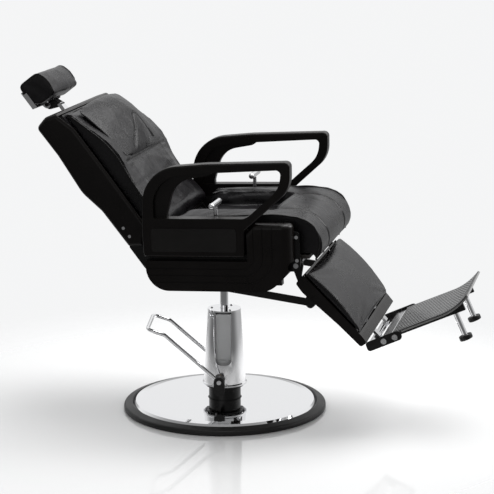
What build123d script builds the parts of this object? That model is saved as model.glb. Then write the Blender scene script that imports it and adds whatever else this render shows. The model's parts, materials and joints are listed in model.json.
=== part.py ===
from build123d import *
import os
from math import atan2, cos, degrees, radians, sin, tan

# Hydraulic barber chair.  Millimetres, +Z up, +X the way the sitter faces, +Y the sitter's left.
# The origin is on the floor, on the axis of the pump column.

# ---- driving dimensions -------------------------------------------------------------------------

BASE_RADIUS = 330
BASE_HEIGHT = 24
COLUMN_TURN = 10          # the pump and its pedal are turned on the base, degrees
SHROUD_BOTTOM_Z = 80
SHROUD_TOP_Z = 325
SHROUD_BOTTOM_RADIUS = 70
SHROUD_TOP_RADIUS = 53
PISTON_RADIUS = 13
PISTON_BOTTOM_Z = 222
PISTON_TOP_Z = 414
SPIGOT_RADIUS = 11
RING_Z = (228, 238)        # groove of the piston ring
FIT = 0.05                # radial clearance of every running fit

PEDAL_PIVOT_X = -12
PEDAL_PIVOT_Z = 108
PEDAL_ROD_RADIUS = 6
PEDAL_HALF_WIDTH = 97
CAM_REACH = 48.9
CAM_DROP = 11             # the cam finger points this far below level at rest, degrees

SEAT_TILT = 2             # the seat unit rises to the front, degrees
SEAT_TILT_Z = 430

RECLINE = (-140, 600)     # X and Z of the recline shaft
BACK_LEAN = 37.5          # lean of the back from upright at rest, degrees
LEG_PIVOT = (295, 545)
LEG_SLOPE = 45            # slope of the calf pad below level at rest, degrees
CRANK = (40, -122)        # from each main pivot to its link pin, the same on both: a parallelogram
TREAD_FOLD = (551, 296)   # fold pivot of the footplate
TREAD_ORIGIN = (571, 319)
TREAD_SLOPE = 24

ARMREST_INNER_Y = 286
ARMREST_OUTER_Y = 327
SIDE_PLATE_Y = (280, 286)
CRANK_Y = (252, 260)
LINK_Y = (241, 249)
SEAT_HALF_WIDTH = 257
BACK_HALF_WIDTH = 250
SHELL_HALF_WIDTH = 268
LEG_HALF_WIDTH = 269
PILLOW_HALF_WIDTH = 215
HEADREST_HALF_WIDTH = 117
TREAD_HALF_WIDTH = 172
SHELL_WALL = 5

SIDES = (-1, 1)


# ---- frames of reference ------------------------------------------------------------------------

def side_plane(origin, along, across):
    """Upright plane through origin (X, Z); along and across are its two directions in X and Z."""
    turned = along[1] * across[0] - along[0] * across[1]
    return Plane(origin=(origin[0], 0, origin[1]), x_dir=(along[0], 0, along[1]), z_dir=(0, turned, 0))


def direction(angle):
    """Unit vector in X and Z at an angle above +X."""
    return (cos(radians(angle)), sin(radians(angle)))


LEVEL = Pos(0, 0, SEAT_TILT_Z) * Rot(0, -SEAT_TILT, 0) * Pos(0, 0, -SEAT_TILT_Z)
COLUMN = Rot(0, 0, COLUMN_TURN)
BACK = side_plane(RECLINE, direction(90 + BACK_LEAN), direction(BACK_LEAN))
LEG = side_plane(LEG_PIVOT, direction(-LEG_SLOPE), direction(90 - LEG_SLOPE))
TREAD = side_plane(TREAD_ORIGIN, direction(TREAD_SLOPE), direction(90 + TREAD_SLOPE))
WORLD = side_plane((0, 0), (1, 0), (0, 1))


def rounded_face(*corners):
    """Face with straight sides between corners, each (x, y, radius of its rounding)."""
    bends = []
    for number, (x, y, radius) in enumerate(corners):
        corner = Vector(x, y)
        back = (Vector(*corners[number - 1][:2]) - corner).normalized()
        ahead = (Vector(*corners[(number + 1) % len(corners)][:2]) - corner).normalized()
        half = radians(back.get_angle(ahead)) / 2
        reach = radius / tan(half)
        middle = corner + (back + ahead).normalized() * radius * (1 / sin(half) - 1)
        bends.append((corner + back * reach, middle, corner + ahead * reach, radius))
    edges = []
    for number, (start, middle, end, radius) in enumerate(bends):
        if radius > 0:
            edges.append(ThreePointArc(start, middle, end))
        following = bends[(number + 1) % len(bends)][0]
        if (following - end).length > 1e-5:
            edges.append(Line(end, following))
    return make_face(edges)


def slab(plane, face, low_y, high_y):
    """The face of a side plane, as thick as from low_y to high_y."""
    solid = extrude(plane * face, amount=(high_y - low_y) / 2, both=True)
    return Pos(0, (low_y + high_y) / 2, 0) * solid


def pair(plane, face, low_y, high_y):
    """Two slabs, one on each side of the chair."""
    return [slab(plane, face, low_y, high_y), slab(plane, face, -high_y, -low_y)]


def bar_y(plane, x, y, radius, low_y, high_y):
    """Round bar across the chair at (x, y) of a side plane."""
    return slab(plane, Pos(x, y) * Circle(radius), low_y, high_y)


def block(x0, x1, y0, y1, z0, z1):
    """Rectangular block between two corners."""
    return Pos((x0 + x1) / 2, (y0 + y1) / 2, (z0 + z1) / 2) * Box(x1 - x0, y1 - y0, z1 - z0)


def tube_z(outer, inner, z0, z1):
    """Upright ring or tube about the Z axis."""
    ring = Circle(outer) - Circle(inner) if inner else Circle(outer)
    return extrude(Pos(0, 0, z0) * ring, amount=z1 - z0)


def fuse(*shapes):
    """One solid from touching or overlapping shapes."""
    whole = shapes[0]
    for shape in shapes[1:]:
        whole = whole + shape
    return whole


def spread(shapes):
    """Separate solids kept together as one group."""
    solids = []
    for shape in shapes:
        solids.extend(shape.solids())
    return Compound(children=solids)


def level_point(x, z):
    """X and Z of a seat point after the seat's tilt."""
    rise, run = sin(radians(SEAT_TILT)), cos(radians(SEAT_TILT))
    return (run * x - rise * (z - SEAT_TILT_Z), SEAT_TILT_Z + rise * x + run * (z - SEAT_TILT_Z))


SEAT = side_plane(level_point(0, 0), direction(SEAT_TILT), direction(90 + SEAT_TILT))


# ---- base ---------------------------------------------------------------------------------------

PLATE_RADIUS = 300
PLATE_Z = (3, 15)


def base_disc():
    """Domed chromed cover over the base plate, with its rim turned down onto the plate."""
    hub, top = 55, 31
    outer = [(hub, 29), (hub, top), (120, 31), (268, 29.5), (291, 27), (PLATE_RADIUS, PLATE_Z[1])]
    inner = [(PLATE_RADIUS - 3, PLATE_Z[1]), (288, 24.5), (266, 27), (120, 29)]
    return revolve(Plane.XZ * make_face(Polyline(*outer, *inner, close=True)), Axis.Z)


def trim_ring():
    """Rubber ring round the rim of the base."""
    return revolve(Plane.XZ * rounded_face((PLATE_RADIUS, 0, 0), (BASE_RADIUS, 0, 3),
                                           (BASE_RADIUS, BASE_HEIGHT - 9, 9),
                                           (PLATE_RADIUS + 2, BASE_HEIGHT, 3),
                                           (PLATE_RADIUS, PLATE_Z[1] + 1, 0)), Axis.Z)


def ballast_plate():
    """Steel plate that carries the pump and keeps the chair from tipping."""
    return tube_z(PLATE_RADIUS, 0, *PLATE_Z)


def floor_pads():
    """Rubber pads under the plate."""
    return spread([Rot(0, 0, 60 * turn) * Pos(240, 0, 0) * tube_z(28, 0, 0, PLATE_Z[0])
                   for turn in range(6)])


def pump_base():
    """Cast foot of the pump, bolted to the plate."""
    flange = tube_z(54, 0, PLATE_Z[1], PLATE_Z[1] + 11)
    foot = block(-48, 48, -48, 48, PLATE_Z[1], PLATE_Z[1] + 10)
    foot = fillet(foot.edges().filter_by(Axis.Z), 12)
    return COLUMN * fuse(flange, foot, tube_z(52, 0, PLATE_Z[1], 72), tube_z(62, 0, 72, SHROUD_BOTTOM_Z))


BORE_RADIUS = 27
HOUSING_RADIUS = 49.5
HOUSING_TOP_Z = 318
BORE_BOTTOM_Z = 130
PLUNGER_X = 36
PLUNGER_RADIUS = 6
BUSH_RADIUS = 10
AXLE_RADIUS = 7
FACE_Y = -43


def axle_bar(radius, low_y, high_y):
    """Round bar on the pedal's axis, before the column's turn."""
    return bar_y(WORLD, PEDAL_PIVOT_X, PEDAL_PIVOT_Z, radius, low_y, high_y)


def pump_housing():
    """Cylinder of the hydraulic pump, with a flat face behind the shroud's window."""
    body = tube_z(HOUSING_RADIUS, 0, SHROUD_BOTTOM_Z, HOUSING_TOP_Z)
    body = body - tube_z(BORE_RADIUS, 0, BORE_BOTTOM_Z, HOUSING_TOP_Z)
    body = body - block(-60, 60, -60, FACE_Y, 166, HOUSING_TOP_Z)
    body = body - block(-26, 46, -14, 14, 90, 125)
    body = body - axle_bar(BUSH_RADIUS, -60, 60)
    return COLUMN * (body - Pos(PLUNGER_X, 0, 0) * tube_z(PLUNGER_RADIUS + FIT, 0, 120, 180))


def axle_bushes():
    """Bronze bushes that the pedal's axle turns in."""
    bush = axle_bar(BUSH_RADIUS, 14, 46) - axle_bar(AXLE_RADIUS + FIT, 14, 46)
    return COLUMN * spread([bush, Pos(0, -60, 0) * bush])


def shroud_radius(z):
    """Outer radius of the tapered shroud at a height."""
    share = (z - SHROUD_BOTTOM_Z) / (SHROUD_TOP_Z - SHROUD_BOTTOM_Z)
    return SHROUD_BOTTOM_RADIUS + share * (SHROUD_TOP_RADIUS - SHROUD_BOTTOM_RADIUS)


def pump_shroud():
    """Tapered chromed shroud with a window in front of the pump."""
    wall = 1.8
    foot_radius = shroud_radius(SHROUD_BOTTOM_Z)
    section = Polyline((foot_radius - wall, SHROUD_BOTTOM_Z), (foot_radius + 2, SHROUD_BOTTOM_Z),
                       (foot_radius + 2, SHROUD_BOTTOM_Z + 5), (shroud_radius(88), 88),
                       (SHROUD_TOP_RADIUS, SHROUD_TOP_Z), (SHROUD_TOP_RADIUS - wall, SHROUD_TOP_Z),
                       close=True)
    shell = revolve(Plane.XZ * make_face(section), Axis.Z)
    window = rounded_face((-25.6, 153, 16), (25.6, 153, 16), (25.6, 340, 0), (-25.6, 340, 0))
    shell = shell - slab(WORLD, window, -90, -20)
    notch = rounded_face((-29, 70, 0), (5, 70, 0), (5, 125, 16.9), (-29, 125, 16.9))
    return COLUMN * (shell - slab(WORLD, notch, -90, 90))


def shroud_cap():
    """Chromed cap over the shroud and the pump."""
    return COLUMN * tube_z(SHROUD_TOP_RADIUS + 1, PISTON_RADIUS + 1, SHROUD_TOP_Z, SHROUD_TOP_Z + 5)


def gland_seal():
    """Seal that the piston slides through at the top of the pump."""
    return COLUMN * tube_z(40, PISTON_RADIUS + FIT, HOUSING_TOP_Z, SHROUD_TOP_Z)


# ---- pedal --------------------------------------------------------------------------------------

PEDAL_ELBOW = (186, 262)
PEDAL_END = (241, 280)


def pedal_hub_face():
    """Outline of the hub on the pedal's axle."""
    x = PEDAL_PIVOT_X
    return rounded_face((x - 17, 62, 14), (x + 17, 62, 14), (x + 17, 125, 16.9), (x - 17, 125, 16.9))


def pedal_hubs():
    """Cast hubs that clamp the pedal's rod to its axle."""
    bore = axle_bar(AXLE_RADIUS, -120, 120)
    return COLUMN * spread([hub - bore for hub in pair(WORLD, pedal_hub_face(), 80, 106)])


def pedal_loop():
    """Bent round bar of the foot pedal, from hub to hub."""
    width = PEDAL_HALF_WIDTH
    half = [(PEDAL_PIVOT_X - 4, width, PEDAL_PIVOT_Z + 4), (-PEDAL_ELBOW[0], width, PEDAL_ELBOW[1]),
            (-PEDAL_END[0], width, PEDAL_END[1])]
    route = FilletPolyline(*half, *[(x, -y, z) for x, y, z in reversed(half)], radius=22)
    rod = sweep(Plane(origin=route @ 0, z_dir=route % 0) * Circle(PEDAL_ROD_RADIUS), path=route)
    for hub in pair(WORLD, pedal_hub_face(), 80, 106):
        rod = rod - hub
    return COLUMN * rod


def pedal_axle():
    """Axle through the pump, with the welded finger that lifts the pump's plunger."""
    hub = Pos(PEDAL_PIVOT_X, PEDAL_PIVOT_Z) * Circle(11)
    tip_x = PEDAL_PIVOT_X + CAM_REACH * cos(radians(CAM_DROP))
    tip_z = PEDAL_PIVOT_Z - CAM_REACH * sin(radians(CAM_DROP))
    finger = make_face(Polyline((PEDAL_PIVOT_X, PEDAL_PIVOT_Z - 6), (tip_x, tip_z - 3), (tip_x, tip_z + 3),
                                (PEDAL_PIVOT_X, PEDAL_PIVOT_Z + 6), close=True))
    outline = hub + finger + Pos(tip_x, tip_z) * Circle(5)
    return COLUMN * fuse(axle_bar(AXLE_RADIUS, -111, 111), slab(WORLD, outline, -8, 8))


def pump_plunger():
    """Small plunger that the cam lifts."""
    bottom = PEDAL_PIVOT_Z - CAM_REACH * sin(radians(CAM_DROP)) + 5.4
    return COLUMN * Pos(PLUNGER_X, 0, 0) * tube_z(PLUNGER_RADIUS, 0, bottom, 152)


# ---- piston -------------------------------------------------------------------------------------

def piston_rod():
    """Chromed ram with a spigot that the seat turns on."""
    head = tube_z(BORE_RADIUS - 1, 0, PISTON_BOTTOM_Z, PISTON_BOTTOM_Z + 24)
    groove = tube_z(BORE_RADIUS, BORE_RADIUS - 4, *RING_Z)
    spigot = tube_z(SPIGOT_RADIUS, 0, PISTON_TOP_Z, 448)
    ram = fuse(head, tube_z(PISTON_RADIUS, 0, PISTON_BOTTOM_Z, PISTON_TOP_Z), spigot)
    return ram - groove


def piston_seal():
    """Ring in the ram's groove."""
    return tube_z(BORE_RADIUS - FIT, BORE_RADIUS - 4, *RING_Z)


def swivel_collar():
    """Collar that keeps the seat on the spigot."""
    return tube_z(23, SPIGOT_RADIUS, 436, 445)


# ---- seat frame ---------------------------------------------------------------------------------

RAIL_Y = 100
CROSS_X = (-20, 200)
BOARD_Z = (550, 562)
GAS_ROD_RADIUS = 5
GAS_ROD_X = (20, 190)
GAS_Z = RECLINE[1] - 100
LEVER_PIVOT = (51, 535)
LEVER_SHAFT_RADIUS = 8
LEG_AXLE_RADIUS = 8
RECLINE_SHAFT_RADIUS = 10


def swivel_plate():
    """Plate under the seat frame, with the bored hub that turns on the ram's spigot."""
    plate = LEVEL * block(-95, 95, -118, 118, 425, 433)
    hub = tube_z(38, 0, PISTON_TOP_Z + 0.3, 430)
    return fuse(plate, hub) - tube_z(SPIGOT_RADIUS + FIT, 0, 400, 460)


def seat_frame():
    """Welded frame of square tubes that carries the seat and both sides."""
    bars = [block(-100, 216, y - 15, y + 15, 433, 473) for y in (-RAIL_Y, RAIL_Y)]
    for x in CROSS_X:
        bars.append(block(x - 15, x + 15, -SIDE_PLATE_Y[0], SIDE_PLATE_Y[0], 520, 550))
        bars.extend(block(x - 15, x + 15, y - 15, y + 15, 470, 525) for y in (-RAIL_Y, RAIL_Y))
    bars.append(block(170, 186, -15, 15, 476, 525))
    return LEVEL * fuse(*bars) - gas_rod()


def gas_rod():
    """Rod of the gas spring, fixed to the front of the seat frame."""
    return Pos(GAS_ROD_X[0], 0, GAS_Z) * Rot(0, 90, 0) * tube_z(GAS_ROD_RADIUS, 0, 0,
                                                               GAS_ROD_X[1] - GAS_ROD_X[0])


def side_plate_face():
    """Outline of the steel side plates."""
    return rounded_face((-160, 490, 40), (-160, 645, 25), (160, 645, 20), (312, 640, 10), (314, 523, 14),
                        (290, 521, 10), (262, 505, 30), (225, 486, 40))


def side_plates():
    """Steel plates that hold the recline shaft, the leg rest's axle and the armrests."""
    plate = slab(SEAT, side_plate_face(), *SIDE_PLATE_Y)
    plate = plate - bar_y(WORLD, *RECLINE, RECLINE_SHAFT_RADIUS + FIT, 270, 290)
    plate = plate - bar_y(WORLD, *LEG_PIVOT, LEG_AXLE_RADIUS, 270, 290)
    plate = plate - bar_y(SEAT, *LEVER_PIVOT, LEVER_SHAFT_RADIUS + FIT, 270, 290)
    return spread([plate, mirror(plate, about=Plane.XZ)])


def seat_board():
    """Plywood board under the seat cushion."""
    return LEVEL * block(-70, 335, -250, 250, *BOARD_Z)


def legrest_axle():
    """Axle that the leg rest swings on, held in both side plates."""
    return bar_y(WORLD, *LEG_PIVOT, LEG_AXLE_RADIUS, -286, 286)


# ---- seat cushion -------------------------------------------------------------------------------

CUSHION_REAR_X = -77
RECESS = (-77, 205, 150, 637)     # rear X, front X, half-width and floor of the dip in the seat
ROLL_RADIUS = 52                  # the underside of the front roll clears this circle about the axle


def seat_cushion():
    """Foam seat with a thick front roll and raised sides."""
    pivot = (299, 535)
    start = (pivot[0] + sqrt_side(ROLL_RADIUS, BOARD_Z[1] + 0.5 - pivot[1]), BOARD_Z[1] + 0.5)
    tip = (pivot[0] + ROLL_RADIUS, pivot[1] + 4)
    bulge = (pivot[0] + ROLL_RADIUS * cos(radians(18)), pivot[1] + ROLL_RADIUS * sin(radians(18)))
    nose = [(210, 693), (285, 689), (335, 673), (368, 640), (382, 600), (376, 564), tip]
    edges = [Spline(*nose), ThreePointArc(tip, bulge, start),
             Polyline(start, (CUSHION_REAR_X, BOARD_Z[1] + 0.5), (CUSHION_REAR_X, 684), (210, 693))]
    body = slab(SEAT, make_face(edges), -SEAT_HALF_WIDTH, SEAT_HALF_WIDTH)
    rear, front, half, floor = RECESS
    dip = rounded_face((rear - 10, floor, 0), (front - 30, floor, 20), (front + 18, 710, 0),
                       (rear - 10, 710, 0))
    return body - slab(SEAT, dip, -half, half)


def sqrt_side(longest, other):
    """Third side of a right-angled triangle."""
    return (longest ** 2 - other ** 2) ** 0.5


# ---- side covers and armrests -------------------------------------------------------------------

COVER_TOP_Z = 555
COVER_FRONT_X = 297
COVER_BEND = 34           # radius of the covers' front corners, seen from above
GROOVES = ((180, 530, 42), (208, 509, 62), (238, 487, 82))     # front X, Z, bend radius
GROOVE_WIDTH = 3
GROOVE_DEPTH = 2


def cover_outline(inset, top):
    """Outline of a side cover, drawn in by inset all round; top is the Z where the sides stop."""
    return rounded_face((-163 + inset, COVER_TOP_Z - inset, 0), (-163 + inset, 461 + inset, 72 - inset),
                        (225, 461 + inset, 80), (COVER_FRONT_X - inset, 532 + inset / 2, 16),
                        (COVER_FRONT_X - inset, top, 0), (180 + inset, top, 0), (158 + inset, top - 22, 0),
                        (158 + inset, COVER_TOP_Z - inset, 0))


def cover_plan(inset):
    """Solid whose rounded front corner, seen from above, shapes a side cover; drawn in by inset."""
    low_y = ARMREST_INNER_Y - 2
    high_y = ARMREST_OUTER_Y - inset
    front = COVER_FRONT_X - inset
    face = rounded_face((-170, low_y, 0), (-170, high_y, 0), (front, high_y, COVER_BEND - inset),
                        (front, low_y, 0))
    return LEVEL * Pos(0, 0, 400) * extrude(face, 320)


def side_cover(side):
    """Hollow plastic cover over the seat's side, with its curved grooves."""
    wall = 4
    body = slab(SEAT, cover_outline(0, 668), ARMREST_INNER_Y, ARMREST_OUTER_Y) & cover_plan(0)
    rim = [edge for edge in body.edges() if edge.center().Z > 655 and edge.center().Y > ARMREST_INNER_Y + 1]
    outer = [edge for edge in rim if edge.center().X > 200 or edge.center().Y > ARMREST_OUTER_Y - 1]
    body = fillet(outer, 14)
    hollow = slab(SEAT, cover_outline(wall, 668 - 18), ARMREST_INNER_Y - 1, ARMREST_OUTER_Y - wall)
    body = body - (hollow & cover_plan(wall))
    for x, z, bend in GROOVES:
        groove = rounded_face((-180, z, 0), (x, z, bend), (x, 700, 0), (x - GROOVE_WIDTH, 700, 0),
                              (x - GROOVE_WIDTH, z + GROOVE_WIDTH, bend - GROOVE_WIDTH),
                              (-180, z + GROOVE_WIDTH, 0))
        body = body - slab(SEAT, groove, ARMREST_OUTER_Y - GROOVE_DEPTH, ARMREST_OUTER_Y + 5)
    body = body - bar_y(WORLD, *LEG_PIVOT, LEG_AXLE_RADIUS + 10, 280, ARMREST_OUTER_Y - wall)
    return body if side > 0 else mirror(body, about=Plane.XZ)


def side_cover_left():
    return side_cover(1)


def side_cover_right():
    return side_cover(-1)


def armrest_outline():
    """Outer outline of a loop armrest with its panel."""
    return rounded_face((-168, 568, 8), (-170, 640, 60), (-160, 840, 120), (40, 855, 300), (299, 860, 16),
                        (297, 775, 90), (152, 650, 12), (150, 568, 8))


def armrest_opening():
    """The hand opening of an armrest."""
    return rounded_face((-131, 687, 5), (-131, 814, 96), (30, 826, 200), (272, 836, 14), (264, 778, 80),
                        (158, 687, 40))


def armrest_web():
    """The sunken web that fills the rear of the opening."""
    return rounded_face((-150, 680, 0), (-150, 840, 20), (62, 840, 0), (62, 820, 30), (-62, 800, 80),
                        (-92, 700, 20), (-92, 680, 0))


def inset_panel(grow):
    """Outline of the panel set in the armrest's outer face."""
    return rounded_face((-142 - grow, 583 - grow, 10), (-142 - grow, 657 + grow, 10),
                        (127 + grow, 657 + grow, 10), (127 + grow, 583 - grow, 10))


def armrest(side):
    """Moulded loop armrest."""
    body = slab(SEAT, armrest_outline(), ARMREST_INNER_Y, ARMREST_OUTER_Y)
    for face in (body.faces().sort_by(Axis.Y)[-1], body.faces().sort_by(Axis.Y)[0]):
        rim = face.edges()
        low, high = min(edge.center().Y for edge in rim), max(edge.center().Y for edge in rim)
        body = fillet([edge for edge in body.edges() if low - 0.1 < edge.center().Y < high + 0.1], 5)
    body = body - slab(SEAT, armrest_opening(), ARMREST_INNER_Y - 1, ARMREST_OUTER_Y + 1)
    web = armrest_web() & armrest_outline()
    body = body + slab(SEAT, web, ARMREST_INNER_Y + 6, ARMREST_OUTER_Y - 14)
    body = body - slab(SEAT, inset_panel(0), ARMREST_OUTER_Y - 3, ARMREST_OUTER_Y + 1)
    return body if side > 0 else mirror(body, about=Plane.XZ)


def armrest_left():
    return armrest(1)


def armrest_right():
    return armrest(-1)


def armrest_panels():
    """Thin panels set in the armrests' outer faces."""
    return spread(pair(SEAT, inset_panel(-0.6), ARMREST_OUTER_Y - 3, ARMREST_OUTER_Y + 0.8))


def cover_screws():
    """Button screws on the front tabs of the side plates and at the rear of the covers."""
    places = ((304, 624), (304, 552))
    screws = []
    for x, z in places:
        screws.append(bar_y(SEAT, x, z, 5.5, SIDE_PLATE_Y[1], SIDE_PLATE_Y[1] + 4))
    return spread(screws + [mirror(screw, about=Plane.XZ) for screw in screws])


# ---- recline levers -----------------------------------------------------------------------------

LEVER_TOP_Z = 714


def lever_frame():
    """Cross shaft under the seat, with a round post welded up from each end."""
    frame = bar_y(SEAT, *LEVER_PIVOT, LEVER_SHAFT_RADIUS, -SIDE_PLATE_Y[0] - 3, SIDE_PLATE_Y[0] + 3)
    for side in SIDES:
        foot = Pos(LEVER_PIVOT[0], 270 * side, LEVER_PIVOT[1])
        post = foot * tube_z(6, 0, 0, LEVER_TOP_Z - LEVER_PIVOT[1])
        eye = bar_y(WORLD, *LEVER_PIVOT, 13, 270 * side - 7, 270 * side + 7)
        frame = fuse(frame, LEVEL * post, LEVEL * eye)
    return frame


def lever_handles():
    """Rounded black grips across the tops of the posts."""
    grips = []
    for side in SIDES:
        grip = Rot(90, 0, 0) * fillet(Cylinder(9.5, 108).edges(), 8)
        grips.append(LEVEL * Pos(LEVER_PIVOT[0], 272 * side, LEVER_TOP_Z + 9.5) * grip)
    return spread(grips)


# ---- backrest -----------------------------------------------------------------------------------

BACK_BOARD_V = (-22, -10)
SHELL_SCREW_U = (66, 98)
SHELL_SCREW_V = -68
SHELL_SCREW_RADIUS = 5
HEAD_POST_V = -84         # the headrest post runs up the back at this depth
POST_SIZE = (34, 12)      # width and thickness of the flat headrest post
HEAD_TILT = (567, -112)
LINK_PIN_RADIUS = 6


def crank_pin():
    """Link pin of the backrest in the back's own frame."""
    up, out = direction(90 + BACK_LEAN), direction(BACK_LEAN)
    return (CRANK[0] * up[0] + CRANK[1] * up[1], CRANK[0] * out[0] + CRANK[1] * out[1])


def shell_outline():
    """Side outline of the rear shell."""
    return rounded_face((15, -54, 8), (42, -93, 10), (180, -95, 80), (262, -112, 120), (400, -102, 100),
                        (508, -104, 16), (518, -60, 30), (505, -22, 10), (436, -1, 60), (300, 0, 60),
                        (60, -2, 30))


def shell_cavity():
    """Side outline of the hollow inside the rear shell."""
    return rounded_face((0, -30, 0), (24, -56, 0), (47, -88, 8), (180, -90, 80), (262, -107, 120),
                        (400, -97, 100), (503, -99, 12), (512, -60, 26), (498, -24, 8), (470, 40, 0),
                        (0, 40, 0))


def back_shell():
    """Moulded plastic shell behind the back cushion."""
    body = slab(BACK, shell_outline(), -SHELL_HALF_WIDTH, SHELL_HALF_WIDTH)
    corners = [edge for edge in body.edges()
               if abs(abs(edge.center().Y) - SHELL_HALF_WIDTH) < 0.1 and edge.center().X < -190
               and in_rear(edge.center())]
    body = fillet(corners, 14)
    inner = SHELL_HALF_WIDTH - SHELL_WALL
    body = body - slab(BACK, shell_cavity(), -inner, inner)
    body = body - BACK * Pos(510, HEAD_POST_V, 0) * Box(40, POST_SIZE[1] + 2, POST_SIZE[0] + 2)
    gap = rounded_face((0, -110, 0), (0, 20, 0), (55, 20, 0), (55, -110, 0))
    for cut in pair(BACK, gap, CRANK_Y[0] - 1, CRANK_Y[1] + 1):
        body = body - cut
    for u in SHELL_SCREW_U:
        body = body - bar_y(BACK, u, SHELL_SCREW_V, SHELL_SCREW_RADIUS, -300, 300)
    return body


def in_rear(place):
    """Whether a point lies on the rear side of the back, past the middle of the shell's depth."""
    out = direction(BACK_LEAN)
    return (place.X - RECLINE[0]) * out[0] + (place.Z - RECLINE[1]) * out[1] < -70


def back_board():
    """Plywood board between shell and cushion."""
    board = rounded_face((50, BACK_BOARD_V[0], 0), (50, BACK_BOARD_V[1], 0), (490, BACK_BOARD_V[1], 0),
                         (490, BACK_BOARD_V[0], 0))
    width = SHELL_HALF_WIDTH - SHELL_WALL
    return slab(BACK, board, -width, width)


def back_cushion():
    """Padded front of the backrest, deepest at the small of the back."""
    low_v = BACK_BOARD_V[1]
    front = [(30, 54), (90, 50), (150, 44), (215, 50), (280, 62), (345, 56), (400, 38), (478, 14)]
    edges = [Spline(*front), Polyline((478, 14), (498, low_v), (16, low_v), (16, 20)),
             ThreePointArc((16, 20), (18, 42), (30, 54))]
    body = slab(BACK, make_face(edges), -BACK_HALF_WIDTH, BACK_HALF_WIDTH)
    return body - bar_y(WORLD, *RECLINE, 19, -260, 260)


def back_pillow():
    """Separate upper pad on the backrest."""
    rear = [(486, 18), (400, 39), (345, 57.5), (280, 63.5), (262, 62)]
    crest = [(262, 66), (310, 92), (355, 104), (412, 104), (462, 84), (490, 52), (490, 22)]
    edges = [Spline(*crest), Line(crest[-1], rear[0]), Spline(*rear), Line(rear[-1], crest[0])]
    body = slab(BACK, make_face(edges), -PILLOW_HALF_WIDTH, PILLOW_HALF_WIDTH)
    return body & pillow_crown()


def pillow_crown():
    """Arched bar over the upper pad's slope, which thins the pad towards its sides."""
    half = [(72, 0), (62, 50), (47, 100), (30, 150), (14, 200), (6, 228)]
    whole = [(height, -y) for height, y in half[:0:-1]] + half
    arch = make_face([Spline(*whole), Polyline(whole[-1], (-60, 228), (-60, -228), whole[0])])
    return BACK * Pos(262, 62, 0) * Rot(0, 0, -11.1) * Pos(-20, 0, 0) * extrude(Plane.YZ * arch, 290)


def recline_shaft():
    """Cross shaft that the backrest turns on, with two ears for the gas spring's pin."""
    reach = SIDE_PLATE_Y[1] - 0.3
    shaft = bar_y(WORLD, *RECLINE, RECLINE_SHAFT_RADIUS, -reach, reach)
    ear = rounded_face((RECLINE[0] - 15, RECLINE[1] + 14, 12), (RECLINE[0] + 15, RECLINE[1] + 14, 12),
                       (RECLINE[0] + 13, GAS_Z - 13, 12.5), (RECLINE[0] - 13, GAS_Z - 13, 12.5))
    ears = pair(WORLD, ear, 10, 16)
    return fuse(shaft, *ears, bar_y(WORLD, RECLINE[0], GAS_Z, 5, -18, 18))


def crank_plates():
    """Steel plates that join the back to the recline shaft and to the link bars."""
    u, v = crank_pin()
    outline = rounded_face((110, -86, 8), (50, -86, 4), (38, -93, 4), (-43, -93, 50), (u - 14, v - 20, 13.5),
                           (u - 14, v + 14, 13.5), (u + 20, v + 16, 30), (-14, 18, 15.5), (22, 18, 14),
                           (44, -24, 12), (110, -24, 6))
    plates = []
    for plate in pair(BACK, outline, *CRANK_Y):
        plate = plate - bar_y(WORLD, *RECLINE, RECLINE_SHAFT_RADIUS, -270, 270)
        plates.append(plate - bar_y(BACK, u, v, LINK_PIN_RADIUS + FIT, -270, 270))
    return spread(plates)


def bracket_screws():
    """Screws that hold the shell to the crank plates."""
    screws = []
    for low, high in ((CRANK_Y[1], SHELL_HALF_WIDTH + 3), (-SHELL_HALF_WIDTH - 3, -CRANK_Y[1])):
        screws.extend(bar_y(BACK, u, SHELL_SCREW_V, SHELL_SCREW_RADIUS, low, high) for u in SHELL_SCREW_U)
    return spread(screws)


def post_guide():
    """Guide inside the shell that the headrest post slides in."""
    outer = BACK * Pos(425, HEAD_POST_V, 0) * Box(150, 24, 52)
    middle_v = (HEAD_POST_V + BACK_BOARD_V[0]) / 2
    arm = BACK * Pos(380, middle_v, 0) * Box(40, BACK_BOARD_V[0] - HEAD_POST_V, 40)
    slot = BACK * Pos(430, HEAD_POST_V, 0) * Box(200, POST_SIZE[1] + 2 * FIT, POST_SIZE[0] + 2 * FIT)
    return fuse(outer, arm) - slot


# ---- link bars and gas spring -------------------------------------------------------------------

def link_bars():
    """Two bars that make the leg rest follow the back."""
    rear = (RECLINE[0] + CRANK[0], RECLINE[1] + CRANK[1])
    front = (LEG_PIVOT[0] + CRANK[0], LEG_PIVOT[1] + CRANK[1])
    run = Vector(front[0] - rear[0], front[1] - rear[1])
    middle = Pos((rear[0] + front[0]) / 2, (rear[1] + front[1]) / 2)
    bar = middle * Rot(0, 0, degrees(atan2(run.Y, run.X))) * SlotCenterToCenter(run.length, 22)
    holes = Pos(*rear) * Circle(LINK_PIN_RADIUS) + Pos(*front) * Circle(LINK_PIN_RADIUS + 0.6)
    return spread(pair(WORLD, bar - holes, *LINK_Y))


def link_pins():
    """Pins at the rear ends of the link bars, turning in the crank plates."""
    rear = (RECLINE[0] + CRANK[0], RECLINE[1] + CRANK[1])
    return spread(pair(WORLD, Pos(*rear) * Circle(LINK_PIN_RADIUS), LINK_Y[0] - 3, CRANK_Y[1] + 2))


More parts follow.
